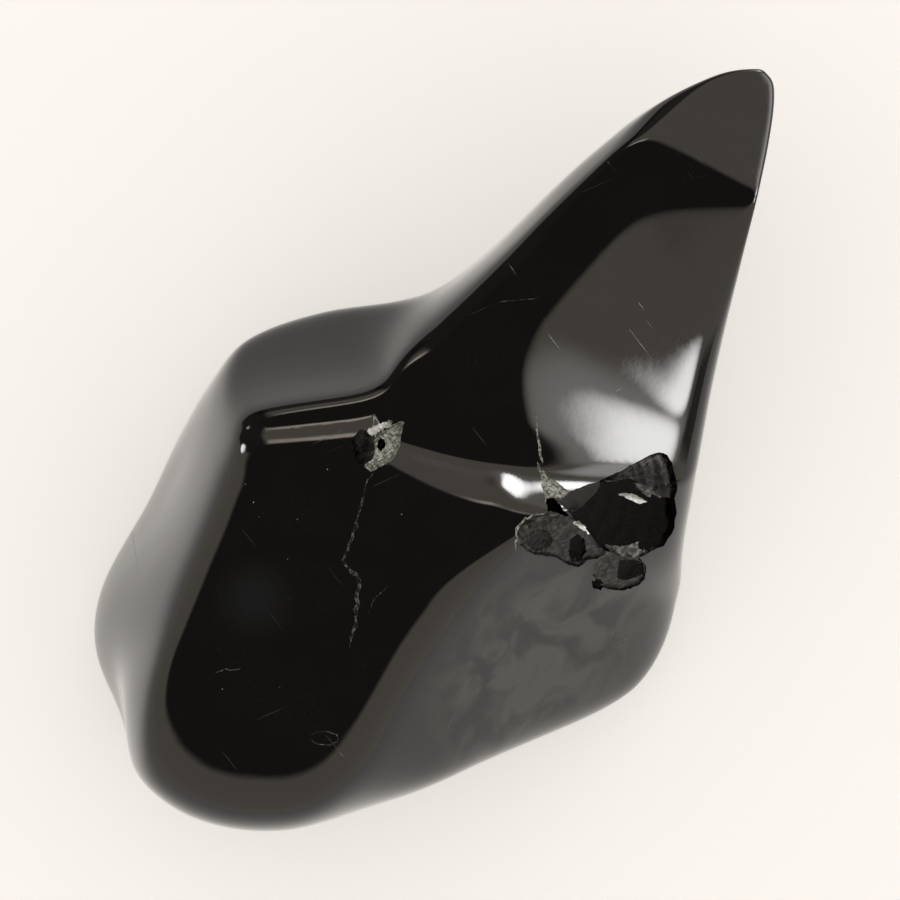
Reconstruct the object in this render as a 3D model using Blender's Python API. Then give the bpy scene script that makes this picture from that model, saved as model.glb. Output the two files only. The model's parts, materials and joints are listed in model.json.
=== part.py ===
"""A tumbled, polished obsidian chunk, modelled as one solid stone.

The stone is a smooth intersection of broad polished faces, a plan outline and a few hollow
faces. A dense sphere is stretched along the stone's length and laid on that form, then thinned
out, rested on a small flat and chipped at its crest. Metres, +Z up, origin at the middle of the
bounding box's bottom.
"""

from dataclasses import dataclass
from math import cos, radians, sin

import bmesh
import bpy
import numpy as np

MM = 0.001

# Driving dimensions, in millimetres. X runs across the stone, Y towards the tip of its fin.
HEIGHT = 15.05  # level of the broad main face above the surface that the stone rests on
SHELF = 14.68  # level of the narrow shelf behind the crest
NECK = 14.38  # level where the fin's dark back begins
DISH = 13.74  # level of the dished face's upper edge, halfway along the fin
TIP = 13.33  # level where the fin's end face begins
BELLY = 12.3  # level where the steep left flank begins
REST_SINK = 0.12  # how much of the rounded underside the flat rest takes away
REST_SLAB = 4.0  # thickness of the slab that cuts the flat rest

# Radii of the edges, as the reach of the blend between two faces.
TIGHT = 0.05
CRISP = 0.13
FIRM = 0.25
MILD = 0.4
SOFT = 0.5
ROUND = 0.8

# Plan outline at the stone's widest, clockwise from the tip of the fin: down its right side,
# round the heel and up the left side.
OUTLINE = (
    (14.2, 15.6), (14.5, 14.8), (14.2, 12.5), (13.15, 7.8), (11.9, 2.0), (11.0, -3.7),
    (11.05, -6.2), (10.7, -8.4), (9.65, -10.0), (7.75, -11.1), (3.1, -12.9), (-1.3, -14.7),
    (-5.9, -15.85), (-9.8, -15.2), (-12.85, -12.75), (-14.25, -10.2), (-14.85, -7.2),
    (-14.6, -5.0), (-13.3, -3.1), (-12.0, -1.5), (-9.3, 2.6), (-7.3, 4.7), (-4.3, 5.8),
    (-1.1, 6.3), (0.8, 7.0), (2.7, 8.5), (5.3, 10.9), (7.35, 12.7), (9.35, 14.2),
    (12.0, 15.5), (13.6, 15.8),
)
OUTLINE_STEPS = 6  # straight runs between two points of the outline

# The edge over the outline is crisp along the fin, softer down the stone and softest at the
# heel, the stone's lower end in plan.
EDGE_CRISP, EDGE_SOFT = 0.12, 0.42
EDGE_FROM, EDGE_TO = 12.0, 2.0
HEEL_FROM, HEEL_TO = -6.0, -12.0
HEEL_LEFT, HEEL_RIGHT = -3.5, 1.5
HEEL_SOFTER = 0.85

# The edge over the left flank softens in the same way, but stays crisp along the shelf.
FLANK_CRISP, FLANK_SOFT, FLANK_LOW = 0.15, 0.48, 0.3
FLANK_FROM, FLANK_TO = 12.0, 8.0
FLANK_LOW_FROM, FLANK_LOW_TO = -5.0, -9.0
SHELF_LEFT, SHELF_RIGHT, SHELF_BACK = (-8.6, -7.4), (-2.3, -4.2), (-1.5, 0.5)

# The spine that the sphere is stretched along, from the heel to the fin.
SPINE_HEEL = (-4.6, -9.0, 6.5)
SPINE_FIN = (10.4, 9.4, 10.2)

SPHERE_LEVEL = 6
TRIANGLE_SHARE = 0.2  # of the dense sphere's triangles, kept by the decimation
REACH = 30.0  # longer than any ray from the spine to the surface, mm
HALVINGS = 24


@dataclass(frozen=True)
class Facet:
    """A broad face: a point on it, the way it looks, its tilt from level, and its curvature."""

    at: tuple
    azimuth: float
    tilt: float
    across: float = 0.0  # curvature across the slope, 1/mm; negative is hollow
    down: float = 0.0  # curvature down the slope
    most: float = 0.8  # the most that the curvature may lower or raise the face, mm


@dataclass(frozen=True)
class Chip:
    """A conchoidal chip: an ellipsoid laid on the surface there, which bites into it."""

    name: str
    at: tuple
    radii: tuple  # down the slope, across it, and into the stone
    azimuth: float
    tilt: float


MAIN = Facet((-7.4, -6.3, HEIGHT - 0.05), 205, 1.5, 0.004, 0.004)
CREST_LEFT = Facet((-4.3, 0.4, HEIGHT), 96, 26)
CREST_RIGHT = Facet((1.8, -1.85, HEIGHT), 73, 27, -0.03)
SHELF_TOP = Facet((-5.1, 1.1, SHELF), 90, 1)
NECK_TOP = Facet((-0.65, 0.55, NECK), 8, 4)
FIN_DISH = Facet((6.32, 6.85, DISH), -34, 18.8)
FIN_DISH_END = Facet((10.1, 9.6, DISH - 0.4), -76, 17.2)
FIN_DISH_ROOT = Facet((7.15, 1.3, DISH - 0.76), 17, 22, 0.0, 0.03, 2.0)
FIN_TIP = Facet((10.85, 12.2, TIP), 51, 18)
FIN_RIM = Facet((11.6, 14.96, TIP - 0.6), 110, 42)
SCOOP = Facet((2.8, -8.75, 11.15), -38, 53.5, -0.04, -0.004, 2.5)
SCOOP_END = Facet((8.95, -6.2, 9.5), -14, 70)
HUMP = Facet((-3.94, 2.4, SHELF - 0.78), 95, 62, 0.0, 0.03)
LEDGE = Facet((-4.0, 4.25, 11.0), 100, 36)
FLANK_UPPER = Facet((-9.8, -3.64, BELLY), 156, 74, 0.0, 0.03, 2.0)
FLANK_LOWER = Facet((-12.0, -10.2, BELLY + 0.9), 186, 75.5, 0.0, 0.05, 2.0)
LOBE = Facet((-13.2, -7.9, 6.2), 186, 73, 0.25, 0.02, 4.0)
FIN_LEFT = Facet((4.6, 10.05, 12.0), 133, 74, 0.0, 0.05)
FIN_ROOT = Facet((-1.1, 2.15, 12.0), 200, 90)
UNDERSIDES = (
    Facet((5.65, 5.2, 2.4), 55, 160),
    Facet((-5.4, -15.5, 2.4), -80, 145),
    Facet((-14.2, -6.35, 1.3), 178, 145),
    Facet((-7.55, 4.8, 1.6), 115, 145),
    Facet((10.4, -8.05, 1.8), -25, 145),
)

# The crest on the right steps down at the chip, where the shelf also gives way to the neck, and
# the scoop's end stops below the dish.
CREST_STEP, CREST_STEP_FROM, CREST_STEP_TO = 0.6, -1.4, -2.5
SHELF_FROM, SHELF_TO = -1.4, -3.4
SCOOP_END_LIFT, SCOOP_END_FROM, SCOOP_END_TO = 5.0, -6.5, -1.5

CHIPS = (
    Chip("chip_crest", (-1.75, 0.2, 15.1), (1.1, 1.2, 0.55), 80, 12),
    Chip("chip_large", (8.75, -2.4, 12.45), (2.4, 2.4, 1.4), -25, 36),
    Chip("chip_saddle", (5.75, -1.85, 13.85), (1.6, 0.8, 0.5), -10, 22),
    Chip("chip_scallop_left", (5.1, -3.2, 13.85), (1.1, 1.0, 0.7), -41, 37),
    Chip("chip_scallop_right", (6.3, -3.85, 12.7), (1.15, 1.2, 0.75), -50, 48),
    Chip("chip_low", (8.05, -5.05, 9.95), (1.15, 1.2, 0.7), -54, 57),
)
CHIP_LEVEL = 3

OBSIDIAN_COLOUR = (0.006, 0.006, 0.007, 1.0)
OBSIDIAN_ROUGHNESS = 0.06
OBSIDIAN_IOR = 1.49


def clear_scene():
    for obj in list(bpy.data.objects):
        bpy.data.objects.remove(obj, do_unlink=True)


def smooth_step(start, end, value):
    share = np.clip((value - start) / (end - start), 0.0, 1.0)
    return share * share * (3.0 - 2.0 * share)


def both(first, second, blend):
    """Outside either one: the smooth intersection of two forms."""
    return np.maximum(first, second) + blend * np.log1p(np.exp(-np.abs(first - second) / blend))


def either(first, second, blend):
    """Outside both: the smooth union of two forms."""
    return -both(-first, -second, blend)


def beyond(facet, points):
    """How far each point lies outside the facet, in millimetres."""
    turn, tilt = radians(facet.azimuth), radians(facet.tilt)
    outward = np.array([sin(tilt) * cos(turn), sin(tilt) * sin(turn), cos(tilt)])
    across = np.array([-sin(turn), cos(turn), 0.0])
    down = np.array([cos(tilt) * cos(turn), cos(tilt) * sin(turn), -sin(tilt)])
    offset = points - np.array(facet.at)
    bend = facet.across * (offset @ across) ** 2 + facet.down * (offset @ down) ** 2
    return offset @ outward + facet.most * np.tanh(0.5 * bend / facet.most)


def outline_curve():
    """The outline as short straight runs along a smooth closed curve through its points."""
    knots = np.array(OUTLINE)
    before, after, later = (np.roll(knots, shift, axis=0) for shift in (1, -1, -2))
    runs = []
    for t in np.arange(OUTLINE_STEPS) / OUTLINE_STEPS:
        linear = (after - before) * t
        square = (2 * before - 5 * knots + 4 * after - later) * t**2
        cubic = (3 * knots - before - 3 * after + later) * t**3
        runs.append(knots + 0.5 * (linear + square + cubic))
    return np.stack(runs, axis=1).reshape(-1, 2)


def beyond_outline(curve, points):
    """Signed distance to the outline in plan, negative inside."""
    x, y = points[:, 0], points[:, 1]
    nearest = np.full(len(points), np.inf)
    inside = np.zeros(len(points), bool)
    for (x0, y0), (x1, y1) in zip(curve, np.roll(curve, -1, axis=0)):
        run_x, run_y = x1 - x0, y1 - y0
        along = ((x - x0) * run_x + (y - y0) * run_y) / (run_x**2 + run_y**2)
        along = np.clip(along, 0.0, 1.0)
        gap = (x - x0 - along * run_x) ** 2 + (y - y0 - along * run_y) ** 2
        nearest = np.minimum(nearest, gap)
        crosses = (y0 > y) != (y1 > y)
        if crosses.any():
            inside ^= crosses & (x < x0 + (y - y0) * run_x / (run_y or 1.0))
    return np.where(inside, -1.0, 1.0) * np.sqrt(nearest)


def beyond_dish(points):
    """The dished face along the fin, with its far end and its root by the crest."""
    dish = either(beyond(FIN_DISH, points), beyond(FIN_DISH_END, points), MILD)
    return either(dish, beyond(FIN_DISH_ROOT, points), FIRM)


def beyond_top(points):
    """The upper faces: the main face, the crest and shelf behind it, the dish, tip and scoop."""
    x, y = points[:, 0], points[:, 1]
    crest_right = beyond(CREST_RIGHT, points)
    crest_right = crest_right - CREST_STEP * smooth_step(CREST_STEP_FROM, CREST_STEP_TO, x)
    crest = both(beyond(CREST_LEFT, points), crest_right, TIGHT)
    on_shelf = smooth_step(SHELF_FROM, SHELF_TO, x)
    behind = on_shelf * beyond(SHELF_TOP, points) + (1 - on_shelf) * beyond(NECK_TOP, points)
    top = either(crest, behind, TIGHT)
    top = both(top, beyond(MAIN, points), TIGHT)
    top = both(top, beyond_dish(points), TIGHT)
    scoop_end = beyond(SCOOP_END, points)
    scoop_end = scoop_end - SCOOP_END_LIFT * smooth_step(SCOOP_END_FROM, SCOOP_END_TO, y)
    scoop = both(beyond(SCOOP, points), scoop_end, ROUND)
    top = both(top, scoop, SOFT)
    tip = both(beyond(FIN_TIP, points), beyond(FIN_RIM, points), CRISP)
    return both(top, tip, TIGHT)


def beyond_sides(points):
    """The left flank, its lobe and the hump, which stop where the fin's left side begins."""
    flank = both(beyond(FLANK_UPPER, points), beyond(FLANK_LOWER, points), MILD)
    flank = either(flank, beyond(LOBE, points), MILD)
    hump = either(beyond(HUMP, points), beyond(LEDGE, points), MILD)
    flank = both(flank, hump, SOFT)
    fin = both(beyond(FIN_LEFT, points), beyond(FIN_ROOT, points), SOFT)
    return either(flank, fin, SOFT)


def beyond_underside(points):
    under = beyond(UNDERSIDES[0], points)
    for facet in UNDERSIDES[1:]:
        under = both(under, beyond(facet, points), SOFT)
    return under


def blend_between(first, second, share):
    return first + (second - first) * share


def edge_softness(points):
    """The blend of the upper faces with the outline, and with the left flank, at each point."""
    x, y = points[:, 0], points[:, 1]
    edge = blend_between(EDGE_CRISP, EDGE_SOFT, smooth_step(EDGE_FROM, EDGE_TO, y))
    heel = smooth_step(HEEL_FROM, HEEL_TO, y) * smooth_step(HEEL_RIGHT, HEEL_LEFT, x)
    flank = blend_between(FLANK_CRISP, FLANK_SOFT, smooth_step(FLANK_FROM, FLANK_TO, y))
    low = smooth_step(FLANK_LOW_FROM, FLANK_LOW_TO, y)
    flank = flank + (FLANK_LOW - FLANK_SOFT) * low
    shelf = smooth_step(*SHELF_LEFT, x) * smooth_step(*SHELF_RIGHT, x)
    shelf = shelf * smooth_step(*SHELF_BACK, y)
    return edge + HEEL_SOFTER * heel, blend_between(flank, CRISP, shelf)


def beyond_stone(curve, points):
    """How far each point lies outside the whole stone, before its flat rest and its chips."""
    edge, flank = edge_softness(points)
    form = both(beyond_top(points), beyond_outline(curve, points), edge)
    form = both(form, beyond_sides(points), flank)
    form = both(form, -points[:, 2] - REST_SINK, MILD)
    return both(form, beyond_underside(points), SOFT)


def laid_on_stone(directions):
    """Where a ray in each direction, from its own place along the spine, leaves the stone.

    The places are centred in plan on the origin.
    """
    curve = outline_curve()
    heel, fin = np.array(SPINE_HEEL), np.array(SPINE_FIN)
    middle, half = (heel + fin) / 2, (fin - heel) / 2
    along = directions @ (half / np.linalg.norm(half))
    starts = middle + along[:, None] * half
    near = np.zeros(len(directions))
    far = np.full(len(directions), REACH)
    for _ in range(HALVINGS):
        halfway = (near + far) / 2
        outside = beyond_stone(curve, starts + halfway[:, None] * directions) > 0.0
        far = np.where(outside, halfway, far)
        near = np.where(outside, near, halfway)
    places = starts + near[:, None] * directions
    places[:, :2] -= (places[:, :2].min(axis=0) + places[:, :2].max(axis=0)) / 2
    return places


def obsidian_material():
    material = bpy.data.materials.new("obsidian")
    material.use_nodes = True
    shader = material.node_tree.nodes["Principled BSDF"]
    shader.inputs["Base Color"].default_value = OBSIDIAN_COLOUR
    shader.inputs["Roughness"].default_value = OBSIDIAN_ROUGHNESS
    shader.inputs["IOR"].default_value = OBSIDIAN_IOR
    return material


def stone_object(material):
    mesh = bpy.data.meshes.new("obsidian_chunk")
    shape = bmesh.new()
    bmesh.ops.create_icosphere(shape, subdivisions=SPHERE_LEVEL, radius=1.0)
    directions = np.array([vert.co[:] for vert in shape.verts])
    directions /= np.linalg.norm(directions, axis=1, keepdims=True)
    for vert, place in zip(shape.verts, laid_on_stone(directions)):
        vert.co = place * MM
    shape.to_mesh(mesh)
    shape.free()
    mesh.shade_smooth()
    mesh.materials.append(material)
    stone = bpy.data.objects.new("obsidian_chunk", mesh)
    bpy.context.collection.objects.link(stone)
    thin_out = stone.modifiers.new("thin_out", "DECIMATE")
    thin_out.ratio = TRIANGLE_SHARE
    return stone


def hidden_cutter(name, shape, material):
    mesh = bpy.data.meshes.new(name)
    shape.to_mesh(mesh)
    shape.free()
    mesh.materials.append(material)
    cutter = bpy.data.objects.new(name, mesh)
    bpy.context.collection.objects.link(cutter)
    cutter.hide_render = True
    cutter.display_type = "WIRE"
    return cutter


def rest_cutter(material):
    """A slab whose top is the level that the stone rests on."""
    side, thick = 2 * REACH * MM, REST_SLAB * MM
    shape = bmesh.new()
    bmesh.ops.create_cube(shape, size=1.0)
    bmesh.ops.scale(shape, vec=(side, side, thick), verts=shape.verts)
    bmesh.ops.translate(shape, vec=(0.0, 0.0, -thick / 2), verts=shape.verts)
    return hidden_cutter("rest_level", shape, material)


def chip_cutter(chip, material):
    shape = bmesh.new()
    bmesh.ops.create_icosphere(shape, subdivisions=CHIP_LEVEL, radius=MM)
    bmesh.ops.scale(shape, vec=chip.radii, verts=shape.verts)
    cutter = hidden_cutter(chip.name, shape, material)
    cutter.location = [value * MM for value in chip.at]
    cutter.rotation_euler = (0.0, radians(chip.tilt), radians(chip.azimuth))
    return cutter


def cut(stone, cutter):
    boolean = stone.modifiers.new(cutter.name, "BOOLEAN")
    boolean.operation = "DIFFERENCE"
    boolean.solver = "EXACT"
    boolean.object = cutter


def main():
    clear_scene()
    material = obsidian_material()
    stone = stone_object(material)
    cut(stone, rest_cutter(material))
    for chip in CHIPS:
        cut(stone, chip_cutter(chip, material))


main()
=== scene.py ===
"""The obsidian chunk's looks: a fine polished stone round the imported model, a pale floor, studio light."""

import json
from dataclasses import dataclass
from math import cos, pi, radians, sin

import bmesh
import bpy
import numpy as np
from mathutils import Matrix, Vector

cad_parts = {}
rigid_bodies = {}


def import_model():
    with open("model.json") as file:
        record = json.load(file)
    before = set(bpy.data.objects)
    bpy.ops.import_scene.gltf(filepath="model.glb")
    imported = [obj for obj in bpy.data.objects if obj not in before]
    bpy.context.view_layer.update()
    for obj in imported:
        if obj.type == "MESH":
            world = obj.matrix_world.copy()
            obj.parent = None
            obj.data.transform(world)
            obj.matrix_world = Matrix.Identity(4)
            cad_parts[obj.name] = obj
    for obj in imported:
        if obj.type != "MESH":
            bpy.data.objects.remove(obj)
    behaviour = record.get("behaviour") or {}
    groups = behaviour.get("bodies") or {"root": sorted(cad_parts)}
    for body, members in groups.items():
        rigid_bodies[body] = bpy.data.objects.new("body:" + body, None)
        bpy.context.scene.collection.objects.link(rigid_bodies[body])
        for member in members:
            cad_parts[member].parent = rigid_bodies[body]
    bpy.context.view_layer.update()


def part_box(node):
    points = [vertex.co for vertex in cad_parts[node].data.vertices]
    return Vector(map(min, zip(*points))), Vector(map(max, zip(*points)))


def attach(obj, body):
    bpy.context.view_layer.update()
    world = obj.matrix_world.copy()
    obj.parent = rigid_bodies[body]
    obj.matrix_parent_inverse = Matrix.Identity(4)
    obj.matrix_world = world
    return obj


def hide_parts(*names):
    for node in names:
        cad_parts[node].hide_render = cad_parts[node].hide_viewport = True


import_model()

MM = 0.001
BODY = "root"
NODE = "obsidian_chunk"

FIELD = 37.8  # width of the view at the stone's middle height, mm
SENSOR = 36.0
CAMERA_DISTANCE = 300.0
CAMERA_AIM = (0.89, 0.07, 7.0)
# The middle of the form's box in plan, in the form's own millimetres. CadFit moves it to the origin.
STONE_SHIFT = np.array([0.092, 0.002])

# ---------------- the stone's form, millimetres

HEIGHT = 15.05  # level of the broad main face above the surface that the stone rests on
SHELF = 14.68  # level of the narrow shelf behind the crest
NECK = 14.38  # level where the fin's dark back begins
DISH = 13.74  # level of the dished face's upper edge, halfway along the fin
TIP = 13.33  # level where the fin's end face begins
BELLY = 12.3  # level where the steep left flank begins
REST_SINK = 0.12  # how much of the rounded underside the flat rest takes away

# How widely the edge between two faces is rounded, mm.
TIGHT = 0.05
CRISP = 0.13
FIRM = 0.25
MILD = 0.4
SOFT = 0.5
ROUND = 0.8

# Plan outline at the stone's widest, clockwise from the tip of the fin: down its right side,
# round the heel and up the left side.
OUTLINE = (
    (14.2, 15.6), (14.5, 14.8), (14.2, 12.5), (13.15, 7.8), (11.9, 2.0), (11.0, -3.7),
    (11.05, -6.2), (10.7, -8.4), (9.65, -10.0), (7.75, -11.1), (3.1, -12.9), (-1.3, -14.7),
    (-5.9, -15.85), (-9.8, -15.2), (-12.85, -12.75), (-14.25, -10.2), (-14.85, -7.2),
    (-14.6, -5.0), (-13.3, -3.1), (-12.0, -1.5), (-9.3, 2.6), (-7.3, 4.7), (-4.3, 5.8),
    (-1.1, 6.3), (0.8, 7.0), (2.7, 8.5), (5.3, 10.9), (7.35, 12.7), (9.35, 14.2),
    (12.0, 15.5), (13.6, 15.8),
)
OUTLINE_STEPS = 24  # straight runs between two points of the outline
MAP_STEP = 0.1  # spacing of the map of distances to the outline
MAP_EDGE = 19.0

# The edge over the outline is crisp along the fin, softer down the stone and softest at the
# heel, the stone's lower end in plan.
EDGE_CRISP, EDGE_SOFT = 0.06, 0.5
EDGE_SPAN = (11.0, 3.0)
HEEL_SPAN, HEEL_SIDE = (-6.0, -12.0), (1.5, -3.5)
HEEL_SOFTER = 0.85

# The edge over the left flank softens in the same way, but stays crisp along the shelf.
FLANK_CRISP, FLANK_SOFT, FLANK_LOW, SHELF_EDGE = 0.15, 0.48, 0.3, 0.2
FLANK_SPAN, FLANK_LOW_SPAN = (12.0, 8.0), (-5.0, -9.0)
SHELF_LEFT, SHELF_RIGHT, SHELF_BACK = (-8.6, -7.4), (0.5, -1.5), (-1.5, 0.5)

# The spine that the sphere is stretched along, from the heel to the fin.
SPINE_HEEL = (-4.6, -9.0, 6.5)
SPINE_FIN = (10.4, 9.4, 10.2)

REACH = 30.0  # longer than any ray from the spine to the surface
HALVINGS = 22
SLOPE_STEP = 0.004

# The mesh: an even cube sphere, drawn towards the top, which is seen closest, and made finer
# along the creases between two faces.
CUBE_CUTS = 84
TOP_BIAS = 0.25
CREASE_ROUNDS = 2
CREASE_TURN = 7.0  # degrees between the two ends of an edge that is split
CREASE_SHORTEST = 0.05  # mm, an edge that is never split
SETTLING_STEPS = 3


@dataclass(frozen=True)
class Facet:
    """A broad face: a point on it, the way it looks, its tilt from level, and its curvature."""

    at: tuple
    azimuth: float
    tilt: float
    across: float = 0.0  # curvature across the slope, 1/mm; negative is hollow
    down: float = 0.0  # curvature down the slope
    most: float = 0.8  # the most that the curvature may lower or raise the face, mm


MAIN = Facet((-7.4, -6.3, HEIGHT - 0.05), 205, 1.5, 0.004, 0.004)
CREST_LEFT = Facet((-4.3, 0.4, HEIGHT), 96, 26)
CREST_RIGHT = Facet((1.8, -1.85, HEIGHT), 73, 27, -0.03, 0.06)
SHELF_TOP = Facet((-5.1, 1.1, SHELF), 90, 1)
SHELF_RAMP = Facet((-2.4, 1.0, SHELF), 0, 9.5)
NECK_TOP = Facet((-0.65, 0.55, NECK), 8, 4)
FIN_DISH = Facet((6.32, 6.85, DISH), -33, 18.2)
FIN_DISH_END = Facet((10.1, 9.6, DISH - 0.4), -76, 17.2)
FIN_DISH_ROOT = Facet((7.15, 1.3, DISH - 0.76), 17, 22, 0.0, 0.03, 0.5)
FIN_TIP = Facet((10.85, 12.2, TIP + 0.09), 53, 18)
FIN_RIM = Facet((11.6, 14.96, TIP - 0.6), 110, 42)
SCOOP = Facet((2.8, -8.75, 11.15), -38, 53.5, -0.04, -0.004, 2.5)
SCOOP_END = Facet((8.95, -6.2, 9.5), -14, 70)
HUMP = Facet((-3.94, 2.4, SHELF - 0.78), 98, 66)
LEDGE = Facet((-4.0, 4.25, 11.0), 98, 46)
FLANK_UPPER = Facet((-9.95, -3.64, BELLY), 160, 74, 0.0, 0.03, 2.0)
FLANK_LOWER = Facet((-12.0, -10.2, BELLY + 0.9), 186, 75.5, 0.0, 0.05, 2.0)
LOBE = Facet((-13.2, -7.9, 6.2), 186, 73, 0.25, 0.02, 4.0)
FIN_LEFT = Facet((4.6, 10.05, 12.0), 133, 74, 0.0, 0.05)
FIN_ROOT = Facet((-1.1, 2.15, 12.0), 200, 90)
UNDERSIDES = (
    Facet((5.65, 5.2, 2.4), 55, 160),
    Facet((-5.4, -15.5, 2.4), -80, 145),
    Facet((-14.2, -6.35, 1.3), 178, 145),
    Facet((-7.55, 4.8, 1.6), 115, 145),
    Facet((10.4, -8.05, 1.8), -25, 145),
)

# Changes along the stone: the crest steps down at the chip and its edge softens at its left end,
# the scoop's end stops below the dish and its edge sharpens there, and the dish's root rises and
# its edge softens.
CREST_STEP, CREST_STEP_SPAN = 0.6, (-1.4, -2.5)
CREST_EDGE, CREST_END_EDGE, CREST_END_SPAN = 0.12, 0.25, (-6.4, -7.6)
ROOT_LIFT, ROOT_LIFT_FROM, ROOT_LIFT_TO = 1.35, -0.4, -2.8
SCOOP_END_LIFT, SCOOP_END_SPAN = 5.0, (-6.5, -1.5)
SCOOP_CORNER_SPAN, ROOT_EDGE_SPAN = (-6.5, -3.0), (1.2, -0.4)

# Long low waves that tumbling leaves in a polished face: direction, wavelength, height.
WAVES = (
    ((0.9, 0.35, 0.2), 3.1, 0.0016),
    ((-0.4, 0.85, 0.3), 2.6, 0.0013),
    ((0.2, -0.6, 0.75), 3.7, 0.0018),
    ((0.65, 0.65, -0.4), 1.9, 0.0007),
    ((-0.8, 0.3, 0.55), 4.6, 0.0025),
)

# Low swells in the polish: centre, height, radius.
SWELLS = (((3.15, -1.5, 14.55), 0.06, 0.45),)


def smooth_step(start, end, value):
    share = np.clip((value - start) / (end - start), 0.0, 1.0)
    return share * share * (3.0 - 2.0 * share)


def both(first, second, blend):
    """Outside either one: the smooth intersection of two forms."""
    return np.maximum(first, second) + blend * np.log1p(np.exp(-np.abs(first - second) / blend))


def either(first, second, blend):
    """Outside both: the smooth union of two forms."""
    return -both(-first, -second, blend)


def beyond(facet, points):
    """How far each point lies outside the facet, in millimetres."""
    turn, tilt = radians(facet.azimuth), radians(facet.tilt)
    outward = np.array([sin(tilt) * cos(turn), sin(tilt) * sin(turn), cos(tilt)])
    across = np.array([-sin(turn), cos(turn), 0.0])
    down = np.array([cos(tilt) * cos(turn), cos(tilt) * sin(turn), -sin(tilt)])
    offset = points - np.array(facet.at)
    bend = facet.across * (offset @ across) ** 2 + facet.down * (offset @ down) ** 2
    return offset @ outward + facet.most * np.tanh(0.5 * bend / facet.most)


def outline_curve():
    """The outline as short straight runs along a smooth closed curve through its points."""
    knots = np.array(OUTLINE)
    before, after, later = (np.roll(knots, shift, axis=0) for shift in (1, -1, -2))
    runs = []
    for t in np.arange(OUTLINE_STEPS) / OUTLINE_STEPS:
        linear = (after - before) * t
        square = (2 * before - 5 * knots + 4 * after - later) * t**2
        cubic = (3 * knots - before - 3 * after + later) * t**3
        runs.append(knots + 0.5 * (linear + square + cubic))
    return np.stack(runs, axis=1).reshape(-1, 2)


def distance_to_curve(curve, x, y):
    nearest = np.full(len(x), np.inf)
    inside = np.zeros(len(x), bool)
    for (x0, y0), (x1, y1) in zip(curve, np.roll(curve, -1, axis=0)):
        run_x, run_y = x1 - x0, y1 - y0
        along = ((x - x0) * run_x + (y - y0) * run_y) / (run_x**2 + run_y**2)
        along = np.clip(along, 0.0, 1.0)
        gap = (x - x0 - along * run_x) ** 2 + (y - y0 - along * run_y) ** 2
        nearest = np.minimum(nearest, gap)
        crosses = (y0 > y) != (y1 > y)
        if crosses.any():
            inside ^= crosses & (x < x0 + (y - y0) * run_x / (run_y or 1.0))
    return np.where(inside, -1.0, 1.0) * np.sqrt(nearest)


class OutlineMap:
    """Signed distance to the outline in plan, kept on a fine map and read back smoothly."""

    def __init__(self):
        side = np.arange(-MAP_EDGE, MAP_EDGE + MAP_STEP, MAP_STEP)
        x, y = np.meshgrid(side, side, indexing="ij")
        self.values = distance_to_curve(outline_curve(), x.ravel(), y.ravel()).reshape(x.shape)
        self.last = len(side) - 3

    @staticmethod
    def weights(t):
        """Shares of the four map points round a place, which give a smooth curve through them."""
        return (
            0.5 * (-t + 2 * t**2 - t**3),
            0.5 * (2 - 5 * t**2 + 3 * t**3),
            0.5 * (t + 4 * t**2 - 3 * t**3),
            0.5 * (t**3 - t**2),
        )

    def __call__(self, points):
        across = np.clip((points[:, 0] + MAP_EDGE) / MAP_STEP, 1, self.last)
        along = np.clip((points[:, 1] + MAP_EDGE) / MAP_STEP, 1, self.last)
        column, row = across.astype(int), along.astype(int)
        column_weights = self.weights(across - column)
        row_weights = self.weights(along - row)
        total = np.zeros(len(points))
        for i, column_weight in enumerate(column_weights):
            for j, row_weight in enumerate(row_weights):
                total += column_weight * row_weight * self.values[column + i - 1, row + j - 1]
        return total


OUTLINE_MAP = OutlineMap()


def beyond_dish(points):
    """The dished face along the fin, with its far end and its root by the crest."""
    dish = either(beyond(FIN_DISH, points), beyond(FIN_DISH_END, points), CRISP)
    raised = (points[:, 1] - ROOT_LIFT_FROM) / (ROOT_LIFT_TO - ROOT_LIFT_FROM)
    root = beyond(FIN_DISH_ROOT, points) - ROOT_LIFT * np.clip(raised, 0.0, 1.0) ** 2
    return either(dish, root, FIRM)


def beyond_top(points):
    """The upper faces: the main face, the crest and shelf behind it, the dish, tip and scoop."""
    x, y = points[:, 0], points[:, 1]
    crest_right = beyond(CREST_RIGHT, points)
    crest_right = crest_right - CREST_STEP * smooth_step(*CREST_STEP_SPAN, x)
    crest = both(beyond(CREST_LEFT, points), crest_right, TIGHT)
    behind = either(beyond(SHELF_RAMP, points), beyond(NECK_TOP, points), CRISP)
    behind = both(beyond(SHELF_TOP, points), behind, TIGHT)
    top = either(crest, behind, TIGHT)
    crest_end = smooth_step(*CREST_END_SPAN, x)
    crest_edge = blend_between(CREST_EDGE, CREST_END_EDGE, crest_end)
    top = both(top, beyond(MAIN, points), crest_edge)
    at_root = smooth_step(*ROOT_EDGE_SPAN, y)
    top = both(top, beyond_dish(points), blend_between(TIGHT, FIRM, at_root))
    scoop_end = beyond(SCOOP_END, points)
    scoop_end = scoop_end - SCOOP_END_LIFT * smooth_step(*SCOOP_END_SPAN, y)
    scoop = both(beyond(SCOOP, points), scoop_end, ROUND)
    corner = smooth_step(*SCOOP_CORNER_SPAN, y)
    top = both(top, scoop, blend_between(SOFT, CRISP, corner))
    tip = both(beyond(FIN_TIP, points), beyond(FIN_RIM, points), CRISP)
    return both(top, tip, TIGHT)


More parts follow.
